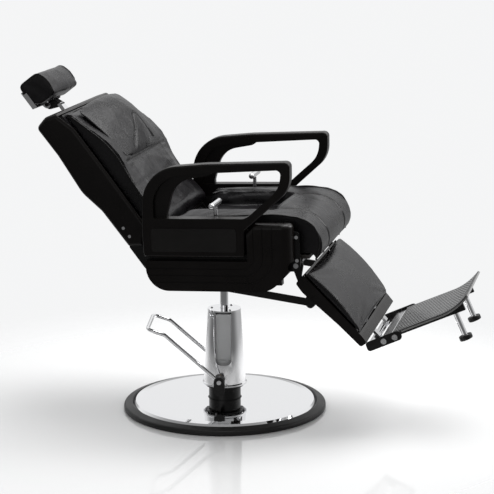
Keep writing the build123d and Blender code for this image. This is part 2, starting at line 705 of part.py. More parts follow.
def gas_tube():
    """Cylinder of the gas spring, with a slotted eye at its rear end."""
    eye_x = RECLINE[0]
    tube = Pos(eye_x + 16, 0, GAS_Z) * Rot(0, 90, 0) * tube_z(14, 0, 0, 208)
    eye = slab(WORLD, rounded_face((eye_x - 14, GAS_Z - 13, 10), (eye_x + 20, GAS_Z - 13, 4),
                                   (eye_x + 20, GAS_Z + 14, 4), (eye_x + 12, GAS_Z + 24, 8),
                                   (eye_x - 14, GAS_Z + 24, 10)), -8, 8)
    slot = slab(WORLD, rounded_face((eye_x - 5.7, GAS_Z - 6, 5.6), (eye_x + 5.7, GAS_Z - 6, 5.6),
                                    (eye_x + 5.7, GAS_Z + 17, 5.6), (eye_x - 5.7, GAS_Z + 17, 5.6)), -20, 20)
    bore = Pos(-30, 0, GAS_Z) * Rot(0, 90, 0) * tube_z(GAS_ROD_RADIUS + FIT, 0, 0, 200)
    return fuse(tube, eye) - slot - bore


# ---- headrest -----------------------------------------------------------------------------------

def headrest_post():
    """Flat chromed post that slides in the back."""
    low, high = 372, 548
    return BACK * Pos((low + high) / 2, HEAD_POST_V, 0) * Box(high - low, POST_SIZE[1], POST_SIZE[0])


def headrest_knuckle():
    """Black knuckle at the top of the post, with the tilt pin."""
    fork = rounded_face((540, HEAD_POST_V - 9, 3), (540, HEAD_POST_V + 9, 3),
                        (HEAD_TILT[0] + 3, HEAD_TILT[1] + 23, 10), (HEAD_TILT[0] + 13, HEAD_TILT[1] - 13, 12),
                        (HEAD_TILT[0] - 14, HEAD_TILT[1] - 13, 12))
    body = slab(BACK, fork, -16, 16) - headrest_post()
    return fuse(body, bar_y(BACK, *HEAD_TILT, 6, -40, 40))


def headrest_bracket():
    """Chromed bracket that turns on the knuckle's pin and carries the headrest pad."""
    strip = rounded_face((574, -129, 1), (574, -125, 1), (638, -125, 1), (638, -129, 1))
    plate = slab(BACK, strip, -HEADREST_HALF_WIDTH - 3, HEADREST_HALF_WIDTH + 3)
    flange = rounded_face((574, -129, 1), (574, -113, 2), (628, -113, 2), (628, -129, 1))
    flanges = pair(BACK, flange, HEADREST_HALF_WIDTH + 0.5, HEADREST_HALF_WIDTH + 3)
    u, v = HEAD_TILT
    lugs = []
    for side in SIDES:
        lug = rounded_face((u - 11, v - 11, 10.5), (u - 11, v + 11, 10.5), (u + 12, v + 6, 6), (590, -125, 0),
                           (590, -129, 0), (u + 8, -129, 6))
        lugs.append(slab(BACK, lug, 23.5 * side - 5, 23.5 * side + 5))
    bracket = fuse(plate, *flanges, *lugs) - bar_y(BACK, *HEAD_TILT, 6 + FIT, -60, 60)
    return bracket - slab(BACK, Pos(*HEAD_TILT) * Circle(22), -17, 17)


def headrest_pad():
    """Padded headrest block."""
    outline = rounded_face((570, -96, 12), (570, -34, 14), (620, -30, 60), (661, -42, 22), (661, -124, 14),
                           (590, -125, 10))
    body = slab(BACK, outline, -HEADREST_HALF_WIDTH, HEADREST_HALF_WIDTH)
    return body - slab(BACK, Pos(*HEAD_TILT) * Circle(32), -46, 46)


def headrest_screws():
    """Screws through the headrest bracket."""
    screws = []
    for y in (-88, -60, 60, 88):
        screws.append(BACK * Pos(622, -129, y) * Rot(90, 0, 0) * tube_z(5, 0, 0, 3))
    return spread(screws)


# ---- leg rest -----------------------------------------------------------------------------------

PAD_TOP = 38              # the pad starts this far down from the leg rest's axle
PAD_BACK_N = -8           # the foam meets the moulded shell at this depth
SLIDE_BAR_Y = 86
SLIDE_BAR_N = -21
SLIDE_BAR_SIZE = (30, 8)  # width and thickness
SLIDE_BAR_END = 350


def legrest_shell():
    """Moulded tray behind the calf pad, with a lip at its lower end."""
    outer = rounded_face((PAD_TOP, -44, 8), (PAD_TOP, PAD_BACK_N, 0), (290, PAD_BACK_N, 0), (319, -11, 4),
                         (316, -34, 8), (221, -37, 100), (73, -49, 100))
    inner = rounded_face((PAD_TOP + 5, -39, 4), (PAD_TOP + 5, 0, 0), (282, 0, 0), (282, -29, 3),
                         (221, -32, 80), (73, -44, 80))
    body = slab(LEG, outer, -LEG_HALF_WIDTH, LEG_HALF_WIDTH)
    body = body - slab(LEG, inner, -LEG_HALF_WIDTH + SHELL_WALL, LEG_HALF_WIDTH - SHELL_WALL)
    gap = rounded_face((30, -60, 0), (30, 0, 0), (PAD_TOP + 8, 0, 0), (PAD_TOP + 8, -30, 0), (142, -30, 0),
                       (142, -60, 0))
    for cut in pair(LEG, gap, CRANK_Y[0] - 12, CRANK_Y[1] + 3):
        body = body - cut
    for side in SIDES:
        body = body - LEG * Pos(300, SLIDE_BAR_N, SLIDE_BAR_Y * side) * Box(60, 8.6, 30.6)
    return body


def legrest_pad():
    """Foam pad for the calves."""
    front = [(PAD_TOP + 1, 11), (90, 19), (150, 21), (230, 13), (278, 3)]
    edges = [Spline(*front), Polyline(front[-1], (286, PAD_BACK_N), (PAD_TOP, PAD_BACK_N), front[0])]
    return slab(LEG, make_face(edges), -LEG_HALF_WIDTH + 1, LEG_HALF_WIDTH - 1)


def legrest_arms():
    """Steel arms of the leg rest: hub on the axle, lug with its stud for the link bar."""
    pin = (CRANK[0] * cos(radians(LEG_SLOPE)) - CRANK[1] * sin(radians(LEG_SLOPE)),
           CRANK[0] * sin(radians(LEG_SLOPE)) + CRANK[1] * cos(radians(LEG_SLOPE)))
    outline = rounded_face((-14, -14, 13.9), (-14, 14, 13.9), (14, 12, 12), (36, -19, 10), (140, -19, 5),
                           (140, -36, 5), (pin[0] + 14, -46, 6), (pin[0] + 14, pin[1] - 14, 13),
                           (pin[0] - 14, pin[1] - 14, 13), (85, -40, 10), (40, -38, 10))
    arms = []
    for low, high, hub_low, hub_high, stud_low in ((*CRANK_Y, 236, 266, LINK_Y[0] - 2),
                                                   (-CRANK_Y[1], -CRANK_Y[0], -266, -236, -CRANK_Y[0])):
        stud = bar_y(LEG, *pin, LINK_PIN_RADIUS, stud_low, stud_low + CRANK_Y[0] - LINK_Y[0] + 2)
        hub = bar_y(WORLD, *LEG_PIVOT, 13.5, hub_low, hub_high)
        arm = fuse(slab(LEG, outline, low, high), hub, stud)
        arms.append(arm - bar_y(WORLD, *LEG_PIVOT, LEG_AXLE_RADIUS + FIT, -280, 280))
    return spread(arms)


def slide_guides():
    """Guides inside the leg rest that the footrest's bars slide in."""
    guides = []
    for side in SIDES:
        guide = LEG * Pos(215, SLIDE_BAR_N + 1.5, SLIDE_BAR_Y * side) * Box(120, 19, 46)
        slot = LEG * Pos(215, SLIDE_BAR_N, SLIDE_BAR_Y * side) * Box(140, SLIDE_BAR_SIZE[1] + 2 * FIT,
                                                                    SLIDE_BAR_SIZE[0] + 2 * FIT)
        guides.append(guide - slot)
    return spread(guides)


# ---- footrest -----------------------------------------------------------------------------------

BRACKET_Y = (175, 181)
FOLD_BOLT_RADIUS = 6
STOP_BOLT = (585, 311)
MAT_THICKNESS = 3
TREAD_PLATE_THICKNESS = 5
TREAD_FLAT = 165          # the tread is flat this far, then curves up to its tip
TREAD_CURVE_RADIUS = 188
TREAD_CURVE_ANGLE = 31.8
RAIL_FOOT_Y = 120
PEG_AT = 202


def slide_bars():
    """Two flat chromed bars that carry the footrest, joined by a cross bar."""
    bars = [LEG * Pos((150 + SLIDE_BAR_END) / 2, SLIDE_BAR_N, SLIDE_BAR_Y * side)
            * Box(SLIDE_BAR_END - 150, SLIDE_BAR_SIZE[1], SLIDE_BAR_SIZE[0]) for side in SIDES]
    cross = LEG * Pos(SLIDE_BAR_END - 10, SLIDE_BAR_N - 13, 0) * Box(18, 18, 2 * BRACKET_Y[0])
    return fuse(cross, *bars)


def foot_brackets():
    """Black side brackets that the footplate folds in."""
    outline = rounded_face((-86, -28, 10), (-86, 2, 10), (31, 3, 12), (31, -27, 12))
    bolts = [bar_y(WORLD, *place, FOLD_BOLT_RADIUS, -200, 200) for place in (TREAD_FOLD, STOP_BOLT)]
    return spread([bracket - bolts[0] - bolts[1] for bracket in pair(TREAD, outline, *BRACKET_Y)])


def bracket_bolts():
    """Chromed bolts: the fold pivots, and the stops beside them."""
    bolts = []
    head = BRACKET_Y[1]
    for place, inner in ((TREAD_FOLD, 150), (STOP_BOLT, BRACKET_Y[0])):
        shank = bar_y(WORLD, *place, FOLD_BOLT_RADIUS, inner, head)
        bolt = fuse(shank, bar_y(WORLD, *place, 9, head, head + 5))
        bolts.extend([bolt, mirror(bolt, about=Plane.XZ)])
    return spread(bolts)


def hinge_plate():
    """Polished plate at the heel of the footplate, bored for the fold bolts."""
    outline = rounded_face((-39, -22, 6), (-39, -4, 6), (-2, -4, 2), (-2, -8, 0), (12, -8, 0), (12, -22, 0))
    plate = slab(TREAD, outline, -TREAD_HALF_WIDTH, TREAD_HALF_WIDTH)
    return plate - bar_y(WORLD, *TREAD_FOLD, FOLD_BOLT_RADIUS + FIT, -200, 200)


def tread_layer(start, top, thickness):
    """Side outline of one layer of the tread, top below the standing surface."""
    upper = TREAD_CURVE_RADIUS + top
    lower = upper + thickness
    turn = radians(TREAD_CURVE_ANGLE)
    centre = TREAD_CURVE_RADIUS

    def on_curve(radius, angle):
        return (TREAD_FLAT + radius * sin(angle), centre - radius * cos(angle))

    edges = [Line((start, -top), (TREAD_FLAT, -top)),
             ThreePointArc((TREAD_FLAT, -top), on_curve(upper, turn / 2), on_curve(upper, turn)),
             Line(on_curve(upper, turn), on_curve(lower, turn)),
             ThreePointArc(on_curve(lower, turn), on_curve(lower, turn / 2), (TREAD_FLAT, centre - lower)),
             Line((TREAD_FLAT, centre - lower), (start, centre - lower)),
             Line((start, centre - lower), (start, -top))]
    return make_face(edges)


def tread_plate():
    """Curved plate under the mat."""
    return slab(TREAD, tread_layer(0, MAT_THICKNESS, TREAD_PLATE_THICKNESS),
                -TREAD_HALF_WIDTH, TREAD_HALF_WIDTH)


def tread_mat():
    """Ribbed rubber mat on the tread."""
    return slab(TREAD, tread_layer(4, 0, MAT_THICKNESS), -TREAD_HALF_WIDTH + 4, TREAD_HALF_WIDTH - 4)


def foot_rails():
    """Two rails under the tread, each with a peg for its rubber foot."""
    rails = []
    for side in SIDES:
        y = RAIL_FOOT_Y * side
        rail = slab(TREAD, rounded_face((12, -22, 0), (12, -8, 0), (168, -8, 0), (235, 3, 0), (235, -22, 0)),
                    y - 7, y + 7)
        peg = TREAD * Pos(PEG_AT, -22, -y) * Rot(90, 0, 0) * tube_z(9, 0, 0, 73)
        rails.append(fuse(rail, peg) - tread_plate())
    return spread(rails)


def foot_bumpers():
    """Round rubber feet on the pegs."""
    return spread([TREAD * Pos(PEG_AT, -95, -RAIL_FOOT_Y * side) * Rot(90, 0, 0)
                   * fillet(tube_z(21, 0, 0, 15).edges(), 3) for side in SIDES])


# ---- export -------------------------------------------------------------------------------------

SUB_PARTS = (base_disc, trim_ring, ballast_plate, floor_pads, pump_base, pump_housing, axle_bushes,
             pump_shroud, shroud_cap, gland_seal, pedal_loop, pedal_hubs, pedal_axle, pump_plunger,
             piston_rod, piston_seal, swivel_collar, swivel_plate, seat_frame, gas_rod, side_plates,
             seat_board, legrest_axle, seat_cushion, side_cover_left, side_cover_right, armrest_left,
             armrest_right, armrest_panels, cover_screws, lever_frame, lever_handles, back_shell,
             back_board, back_cushion, back_pillow, recline_shaft, crank_plates, bracket_screws,
             post_guide, link_bars, link_pins, gas_tube, headrest_post, headrest_knuckle,
             headrest_bracket, headrest_pad, headrest_screws, legrest_shell, legrest_pad, legrest_arms,
             slide_guides, slide_bars, foot_brackets, bracket_bolts, hinge_plate, tread_plate, tread_mat,
             foot_rails, foot_bumpers)

os.makedirs("parts", exist_ok=True)
for make in SUB_PARTS:
    export_step(make(), f"parts/{make.__name__}.step")
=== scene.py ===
"""Hydraulic barber chair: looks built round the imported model.  Metres, +X forward, +Y left, +Z up."""
import json
import math

import bmesh
import bpy
from mathutils import Matrix, Vector, noise
from mathutils.bvhtree import BVHTree


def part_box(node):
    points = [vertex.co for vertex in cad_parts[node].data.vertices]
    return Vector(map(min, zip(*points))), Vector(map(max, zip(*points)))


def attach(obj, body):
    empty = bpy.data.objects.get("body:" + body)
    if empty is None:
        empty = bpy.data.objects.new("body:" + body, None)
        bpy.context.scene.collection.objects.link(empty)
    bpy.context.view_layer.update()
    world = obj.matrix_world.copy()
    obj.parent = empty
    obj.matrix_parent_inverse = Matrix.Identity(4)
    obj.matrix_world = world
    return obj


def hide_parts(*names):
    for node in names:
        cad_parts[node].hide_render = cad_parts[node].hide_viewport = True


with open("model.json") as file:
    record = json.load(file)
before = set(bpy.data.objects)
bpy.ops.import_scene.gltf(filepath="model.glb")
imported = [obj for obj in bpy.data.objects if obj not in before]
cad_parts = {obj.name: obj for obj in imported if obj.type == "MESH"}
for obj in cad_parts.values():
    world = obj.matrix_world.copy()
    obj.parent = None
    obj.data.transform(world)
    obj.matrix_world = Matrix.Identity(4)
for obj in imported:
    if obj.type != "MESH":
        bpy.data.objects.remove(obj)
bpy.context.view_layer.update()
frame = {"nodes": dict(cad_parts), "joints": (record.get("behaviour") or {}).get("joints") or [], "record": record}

# ---- dimensions taken from the frame -------------------------------------------------------------

RECLINE = Vector(next(j for j in frame["joints"] if j["name"] == "recline")["pos_m"])
LEG_PIVOT = Vector(next(j for j in frame["joints"] if j["name"] == "legrest_swing")["pos_m"])
SEAT_TILT = math.radians(2)
BACK_LEAN = math.radians(37.5)
LEG_SLOPE = math.radians(45)
TREAD_SLOPE = math.radians(24)
TREAD_ORIGIN = Vector((0.571, 0, 0.319))
SEAT_ORIGIN = Vector((0.43 * math.sin(SEAT_TILT), 0, 0.43 * (1 - math.cos(SEAT_TILT))))

SEAT_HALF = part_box("seat_cushion")[1].y
BACK_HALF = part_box("back_cushion")[1].y
PILLOW_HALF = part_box("back_pillow")[1].y
LEG_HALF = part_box("legrest_pad")[1].y
HEAD_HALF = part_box("headrest_pad")[1].y


def heading(angle):
    """Unit vector in the XZ plane at an angle above +X."""
    return Vector((math.cos(angle), 0, math.sin(angle)))


AXES = {
    "seat": (SEAT_ORIGIN, heading(SEAT_TILT), heading(SEAT_TILT + math.pi / 2)),
    "back": (RECLINE, heading(BACK_LEAN + math.pi / 2), heading(BACK_LEAN)),
    "leg": (LEG_PIVOT, heading(-LEG_SLOPE), heading(math.pi / 2 - LEG_SLOPE)),
    "tread": (TREAD_ORIGIN, heading(TREAD_SLOPE), heading(TREAD_SLOPE + math.pi / 2)),
}


def place(unit, a, b, y=0.0):
    """Point of a unit of the chair: a along its first direction, b along its second."""
    origin, first, second = AXES[unit]
    return origin + first * a + second * b + Vector((0, y, 0))


def measure(unit, point):
    """The (a, b, y) of a point, as place takes them."""
    origin, first, second = AXES[unit]
    shift = point - origin
    return shift.dot(first), shift.dot(second), point.y


# ---- camera and light ----------------------------------------------------------------------------

TARGET = Vector((0.0767, 0, 0.5344))
CAMERA_DISTANCE = 5.9548
AZIMUTH, ELEVATION, ROLL = (math.radians(a) for a in (13.14, 12.16, 0.29))
LENS = 135.2
SURROUND = (0.91, 0.915, 0.92, 1)
FILL = 0.32
SKYLINE = (0.10, 0.225)
SKYLINE_FILL = 0.5
RISE = (-0.35, 0.55)
LIGHT_AIM = Vector((0, 0, 0.6))
LIGHTS = (
    ("overhead", (0.5, 0.4, 3.4), (2.4, 2.6), 90, True),
    ("rear_high", (-0.6, 3.4, 2.4), (4.2, 2.2), 60, False),
    ("front_high", (2.6, 1.2, 2.6), (1.6, 1.4), 55, True),
    ("near_low", (-0.8, -4.4, 1.5), (2.6, 1.2), 8, True),
)


def make_camera():
    """Camera at the reference viewing angle."""
    back = Vector((math.sin(AZIMUTH) * math.cos(ELEVATION), -math.cos(AZIMUTH) * math.cos(ELEVATION),
                   math.sin(ELEVATION)))
    right = (-back).cross(Vector((0, 0, 1))).normalized()
    up = right.cross(-back)
    right_rolled = right * math.cos(ROLL) - up * math.sin(ROLL)
    up_rolled = right * math.sin(ROLL) + up * math.cos(ROLL)
    data = bpy.data.cameras.new("camera")
    data.lens = LENS
    data.sensor_width = 36
    camera = bpy.data.objects.new("camera", data)
    turn = Matrix((right_rolled, up_rolled, back)).transposed()
    camera.matrix_world = Matrix.Translation(TARGET + back * CAMERA_DISTANCE) @ turn.to_4x4()
    bpy.context.scene.collection.objects.link(camera)
    bpy.context.scene.camera = camera


def area_light(name, position, size, power, mirrored):
    """Soft light turned to the chair; mirrored says whether glossy surfaces show it."""
    data = bpy.data.lights.new(name, "AREA")
    data.shape = "RECTANGLE"
    data.size, data.size_y = size
    data.energy = power
    light = bpy.data.objects.new(name, data)
    light.location = position
    light.rotation_euler = (LIGHT_AIM - Vector(position)).to_track_quat("-Z", "Y").to_euler()
    light.visible_glossy = mirrored
    bpy.context.scene.collection.objects.link(light)


def make_light():
    """White studio: bright overhead and beyond the chair, dim on the near side and low at the skyline."""
    scene = bpy.context.scene
    world = bpy.data.worlds.new("studio")
    world.use_nodes = True
    tree = world.node_tree
    seen = tree.nodes["Background"]
    seen.inputs["Color"].default_value = SURROUND
    seen.inputs["Strength"].default_value = 1.0
    lit = node(tree, "ShaderNodeBackground")
    lit.inputs["Color"].default_value = SURROUND
    way = node(tree, "ShaderNodeTexCoord")
    parts = node(tree, "ShaderNodeSeparateXYZ")
    rise = node(tree, "ShaderNodeMapRange")
    rise.interpolation_type = "SMOOTHSTEP"
    rise.inputs["From Min"].default_value, rise.inputs["From Max"].default_value = RISE
    rise.inputs["To Min"].default_value = FILL
    rise.inputs["To Max"].default_value = 1.0
    tree.links.new(way.outputs["Generated"], parts.inputs["Vector"])
    skyline = node(tree, "ShaderNodeMapRange")
    skyline.interpolation_type = "SMOOTHSTEP"
    skyline.inputs["From Min"].default_value, skyline.inputs["From Max"].default_value = SKYLINE
    skyline.inputs["To Min"].default_value = SKYLINE_FILL
    both = node(tree, "ShaderNodeMath")
    both.operation = "MULTIPLY"
    tree.links.new(parts.outputs["Y"], rise.inputs["Value"])
    tree.links.new(parts.outputs["Z"], skyline.inputs["Value"])
    tree.links.new(rise.outputs["Result"], both.inputs[0])
    tree.links.new(skyline.outputs["Result"], both.inputs[1])
    tree.links.new(both.outputs["Value"], lit.inputs["Strength"])
    path = tree.nodes.new("ShaderNodeLightPath")
    mix = tree.nodes.new("ShaderNodeMixShader")
    tree.links.new(path.outputs["Is Camera Ray"], mix.inputs["Fac"])
    tree.links.new(lit.outputs["Background"], mix.inputs[1])
    tree.links.new(seen.outputs["Background"], mix.inputs[2])
    tree.links.new(mix.outputs["Shader"], tree.nodes["World Output"].inputs["Surface"])
    scene.world = world
    scene.view_settings.view_transform = "Standard"
    for name, position, size, power, mirrored in LIGHTS:
        area_light(name, position, size, power, mirrored)


FLOOR_SIZE = 3.2
FLOOR_FADE = (0.45, 1.5)


def make_floor():
    """Pale glossy floor that fades into the surround some way off, so that no edge shows."""
    size = FLOOR_SIZE
    mesh = bpy.data.meshes.new("floor")
    corners = [(-size, -size, 0), (size, -size, 0), (size, size, 0), (-size, size, 0)]
    mesh.from_pydata(corners, [], [(0, 1, 2, 3)])
    floor = bpy.data.objects.new("floor", mesh)
    floor.location.z = -0.0005
    bpy.context.scene.collection.objects.link(floor)
    finish = material("floor_gloss", (0.80, 0.80, 0.80), 0.04, specular=0.55)
    floor.data.materials.append(finish)
    fade_out(finish.node_tree)


def fade_out(tree):
    """Makes a finish clear away from the middle of the floor."""
    surface = tree.nodes["Principled BSDF"]
    where = node(tree, "ShaderNodeTexCoord")
    distance = node(tree, "ShaderNodeVectorMath")
    distance.operation = "LENGTH"
    fade = node(tree, "ShaderNodeMapRange")
    fade.interpolation_type = "SMOOTHSTEP"
    fade.inputs["From Min"].default_value, fade.inputs["From Max"].default_value = FLOOR_FADE
    clear = node(tree, "ShaderNodeBsdfTransparent")
    mix = node(tree, "ShaderNodeMixShader")
    tree.links.new(where.outputs["Object"], distance.inputs[0])
    tree.links.new(distance.outputs["Value"], fade.inputs["Value"])
    tree.links.new(fade.outputs["Result"], mix.inputs["Fac"])
    tree.links.new(surface.outputs["BSDF"], mix.inputs[1])
    tree.links.new(clear.outputs["BSDF"], mix.inputs[2])
    tree.links.new(mix.outputs["Shader"], tree.nodes["Material Output"].inputs["Surface"])


# ---- materials -----------------------------------------------------------------------------------

def node(tree, kind, **inputs):
    """A shader node with some inputs set; an underscore in a name stands for a space."""
    made = tree.nodes.new(kind)
    for name, value in inputs.items():
        made.inputs[name.replace("_", " ")].default_value = value
    return made


def material(name, color, roughness, metallic=0.0, specular=0.5, grain=None, mottle=0.0, ripple=0.0,
             brush=None, stretch=(1, 1, 1)):
    """Procedural surface.  grain is (kind, cells per metre, depth in metres); mottle varies the colour and
    the gloss; ripple is a broad uneven bump; brush is (scratches per metre, strength)."""
    made = bpy.data.materials.new(name)
    made.use_nodes = True
    tree = made.node_tree
    shader = tree.nodes["Principled BSDF"]
    shader.inputs["Base Color"].default_value = (*color, 1)
    shader.inputs["Metallic"].default_value = metallic
    shader.inputs["Roughness"].default_value = roughness
    shader.inputs["Specular IOR Level"].default_value = specular
    place = node(tree, "ShaderNodeTexCoord")
    scale = node(tree, "ShaderNodeMapping")
    scale.inputs["Scale"].default_value = stretch
    tree.links.new(place.outputs["Object"], scale.inputs["Vector"])
    cloud = node(tree, "ShaderNodeTexNoise", Scale=9.0, Detail=5.0, Roughness=0.6)
    tree.links.new(scale.outputs["Vector"], cloud.inputs["Vector"])
    vary_gloss(tree, shader, cloud, roughness, mottle)
    if mottle:
        vary_colour(tree, shader, cloud, color, mottle)
    bumps = []
    if grain:
        bumps.append(grain_height(tree, scale, *grain))
    if ripple:
        wide = node(tree, "ShaderNodeTexNoise", Scale=22.0, Detail=3.0, Roughness=0.55, Distortion=0.4)
        tree.links.new(scale.outputs["Vector"], wide.inputs["Vector"])
        bumps.append((wide.outputs["Fac"], ripple))
    if brush:
        lines = node(tree, "ShaderNodeTexNoise", Scale=brush[0], Detail=2.0)
        tree.links.new(scale.outputs["Vector"], lines.inputs["Vector"])
        bumps.append((lines.outputs["Fac"], brush[1]))
    chain_bumps(tree, shader, bumps)
    return made


def vary_gloss(tree, shader, cloud, roughness, mottle):
    """Roughness a little uneven over the surface, as handling and cleaning leave it."""
    spread = node(tree, "ShaderNodeMapRange")
    spread.inputs["From Min"].default_value = 0.3
    spread.inputs["From Max"].default_value = 0.7
    spread.inputs["To Min"].default_value = max(roughness * (0.88 - mottle * 0.3), 0.01)
    spread.inputs["To Max"].default_value = roughness * (1.12 + mottle * 0.3)
    tree.links.new(cloud.outputs["Fac"], spread.inputs["Value"])
    tree.links.new(spread.outputs["Result"], shader.inputs["Roughness"])


def vary_colour(tree, shader, cloud, color, mottle):
    """Colour between a darker and a lighter shade of itself."""
    ramp = node(tree, "ShaderNodeValToRGB")
    ramp.color_ramp.elements[0].position = 0.3
    ramp.color_ramp.elements[1].position = 0.7
    ramp.color_ramp.elements[0].color = (*(c * (1 - mottle) for c in color), 1)
    ramp.color_ramp.elements[1].color = (*(min(c * (1 + mottle), 1) for c in color), 1)
    tree.links.new(cloud.outputs["Fac"], ramp.inputs["Fac"])
    tree.links.new(ramp.outputs["Color"], shader.inputs["Base Color"])


def grain_height(tree, scale, kind, cells, depth):
    """Output and depth of a fine surface texture: leather cells or moulded speckle."""
    if kind == "leather":
        cell = node(tree, "ShaderNodeTexVoronoi", Scale=cells, Randomness=1.0)
        cell.feature = "DISTANCE_TO_EDGE"
        tree.links.new(scale.outputs["Vector"], cell.inputs["Vector"])
        soft = node(tree, "ShaderNodeMapRange")
        soft.interpolation_type = "SMOOTHSTEP"
        soft.inputs["From Max"].default_value = 0.25
        tree.links.new(cell.outputs["Distance"], soft.inputs["Value"])
        return (soft.outputs["Result"], depth)
    speck = node(tree, "ShaderNodeTexNoise", Scale=cells, Detail=3.0, Roughness=0.7)
    tree.links.new(scale.outputs["Vector"], speck.inputs["Vector"])
    return (speck.outputs["Fac"], depth)


def chain_bumps(tree, shader, bumps):
    """Bump nodes one after another, each with its own depth."""
    last = None
    for height, depth in bumps:
        bump = node(tree, "ShaderNodeBump", Strength=1.0, Distance=depth)
        tree.links.new(height, bump.inputs["Height"])
        if last:
            tree.links.new(last.outputs["Normal"], bump.inputs["Normal"])
        last = bump
    if last:
        tree.links.new(last.outputs["Normal"], shader.inputs["Normal"])


LEATHER = (0.0050, 0.0044, 0.0052)
PLASTIC = (0.0042, 0.0030, 0.0026)


def make_materials():
    """Every finish, by the record's slot name, with a few that only new pieces use."""
    return {
        "black_leather": material("black_leather", LEATHER, 0.29, specular=0.26, mottle=0.2,
                                  grain=("leather", 700, 0.00007), ripple=0.0005),
        "piping": material("piping", (0.006, 0.0055, 0.0055), 0.34, specular=0.35, mottle=0.2,
                           grain=("leather", 900, 0.0001)),
        "thread": material("thread", (0.022, 0.021, 0.021), 0.6, mottle=0.3,
                           grain=("speckle", 1800, 0.0001)),
        "black_plastic": material("black_plastic", PLASTIC, 0.30, specular=0.22, mottle=0.12,
                                  grain=("speckle", 1400, 0.00006)),
        "panel_plastic": material("panel_plastic", (0.006, 0.005, 0.0045), 0.40, specular=0.25,
                                  mottle=0.15, grain=("leather", 800, 0.00012)),
        "chrome": material("chrome", (0.86, 0.86, 0.87), 0.045, metallic=1.0,
                           grain=("speckle", 60, 0.00002)),
        "polished_steel": material("polished_steel", (0.70, 0.70, 0.71), 0.16, metallic=1.0,
                                   brush=(240, 0.00004), stretch=(1, 0.05, 1)),
        "bright_screw": material("bright_screw", (0.80, 0.80, 0.81), 0.14, metallic=1.0,
                                 grain=("speckle", 500, 0.00003)),
        "black_steel": material("black_steel", (0.006, 0.0055, 0.0055), 0.34, specular=0.25, mottle=0.15,
                                grain=("speckle", 900, 0.00008)),
        "raw_steel": material("raw_steel", (0.52, 0.52, 0.53), 0.28, metallic=1.0, mottle=0.1,
                              brush=(300, 0.00005), stretch=(1, 0.1, 1)),
        "pump_grey": material("pump_grey", (0.78, 0.785, 0.79), 0.36, mottle=0.06,
                              grain=("speckle", 700, 0.00006)),
        "cast_black": material("cast_black", (0.006, 0.0055, 0.0055), 0.30, specular=0.3, mottle=0.2,
                               grain=("speckle", 420, 0.0002)),
        "bronze": material("bronze", (0.42, 0.27, 0.11), 0.3, metallic=1.0, mottle=0.15),
        "black_rubber": material("black_rubber", (0.0075, 0.007, 0.007), 0.42, specular=0.35, mottle=0.2,
                                 grain=("speckle", 800, 0.00010)),
        "mat_rubber": material("mat_rubber", (0.055, 0.055, 0.056), 0.5, mottle=0.15,
                               grain=("speckle", 800, 0.00010)),
        "tread_metal": material("tread_metal", (0.46, 0.455, 0.45), 0.22, metallic=1.0,
                                brush=(260, 0.00004), stretch=(1, 0.05, 1)),
        "plywood": material("plywood", (0.030, 0.026, 0.023), 0.6, mottle=0.25, brush=(90, 0.0003),
                            stretch=(0.1, 1, 1)),
    }


def dress_cad(finishes):
    """Gives each CAD node the finish of its slot."""
    slots = {part["node"]: part["material_slot"] for part in frame["record"]["subparts"]}
    for name, piece in frame["nodes"].items():
        piece.data.materials.clear()
        piece.data.materials.append(finishes[slots[name]])


# ---- soft pieces ---------------------------------------------------------------------------------

def link_piece(name, mesh, body, finish):
    """New piece in the scene, riding on its body, with its finish."""
    piece = bpy.data.objects.new(name, mesh)
    bpy.context.scene.collection.objects.link(piece)
    mesh.materials.clear()
    mesh.materials.append(finish)
    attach(piece, body)
    return piece


def lofted_mesh(name, sections):
    """Closed mesh through a row of closed sections, each a list of points, with capped ends."""
    count = len(sections[0])
    points = [p for section in sections for p in section]
    faces = [tuple(range(count))[::-1], tuple(range(len(points) - count, len(points)))]
    for row in range(len(sections) - 1):
        for k in range(count):
            a, b = row * count + k, row * count + (k + 1) % count
            faces.append((a, b, b + count, a + count))
    mesh = bpy.data.meshes.new(name)
    mesh.from_pydata([tuple(p) for p in points], [], faces)
    tidy = bmesh.new()
    tidy.from_mesh(mesh)
    bmesh.ops.recalc_face_normals(tidy, faces=tidy.faces)
    tidy.to_mesh(mesh)
    tidy.free()
    return mesh


def smooth_run(points, steps):
    """Evenly spread points on a Catmull-Rom curve through an open run of (a, b) pairs."""
    padded = [points[0], *points, points[-1]]
    out = []
    for p0, p1, p2, p3 in zip(padded, padded[1:], padded[2:], padded[3:]):
        for step in range(steps):
            t = step / steps
            out.append(tuple(0.5 * (2 * b + (c - a) * t + (2 * a - 5 * b + 4 * c - d) * t * t
                                    + (3 * b - a - 3 * c + d) * t ** 3)
                             for a, b, c, d in zip(p0, p1, p2, p3)))
    return out + [tuple(points[-1])]


def mirrored_run(half):
    """A run that ends on the chair's middle plane, carried on over its mirror image."""
    return half + [Vector((p.x, -p.y, p.z)) for p in half[-2::-1]]


def use_modifier(piece, kind, **settings):
    """Adds a modifier, applies it, and leaves the plain mesh."""
    modifier = piece.modifiers.new(kind.lower(), kind)
    for name, value in settings.items():
        setattr(modifier, name, value)
    apply_all(piece)


def apply_all(piece):
    """Replaces a piece's mesh by what its modifiers make of it."""
    graph = bpy.context.evaluated_depsgraph_get()
    graph.update()
    baked = bpy.data.meshes.new_from_object(piece.evaluated_get(graph))
    piece.modifiers.clear()
    piece.data = baked


FRAMES = 20
PRESSURE = 4.0


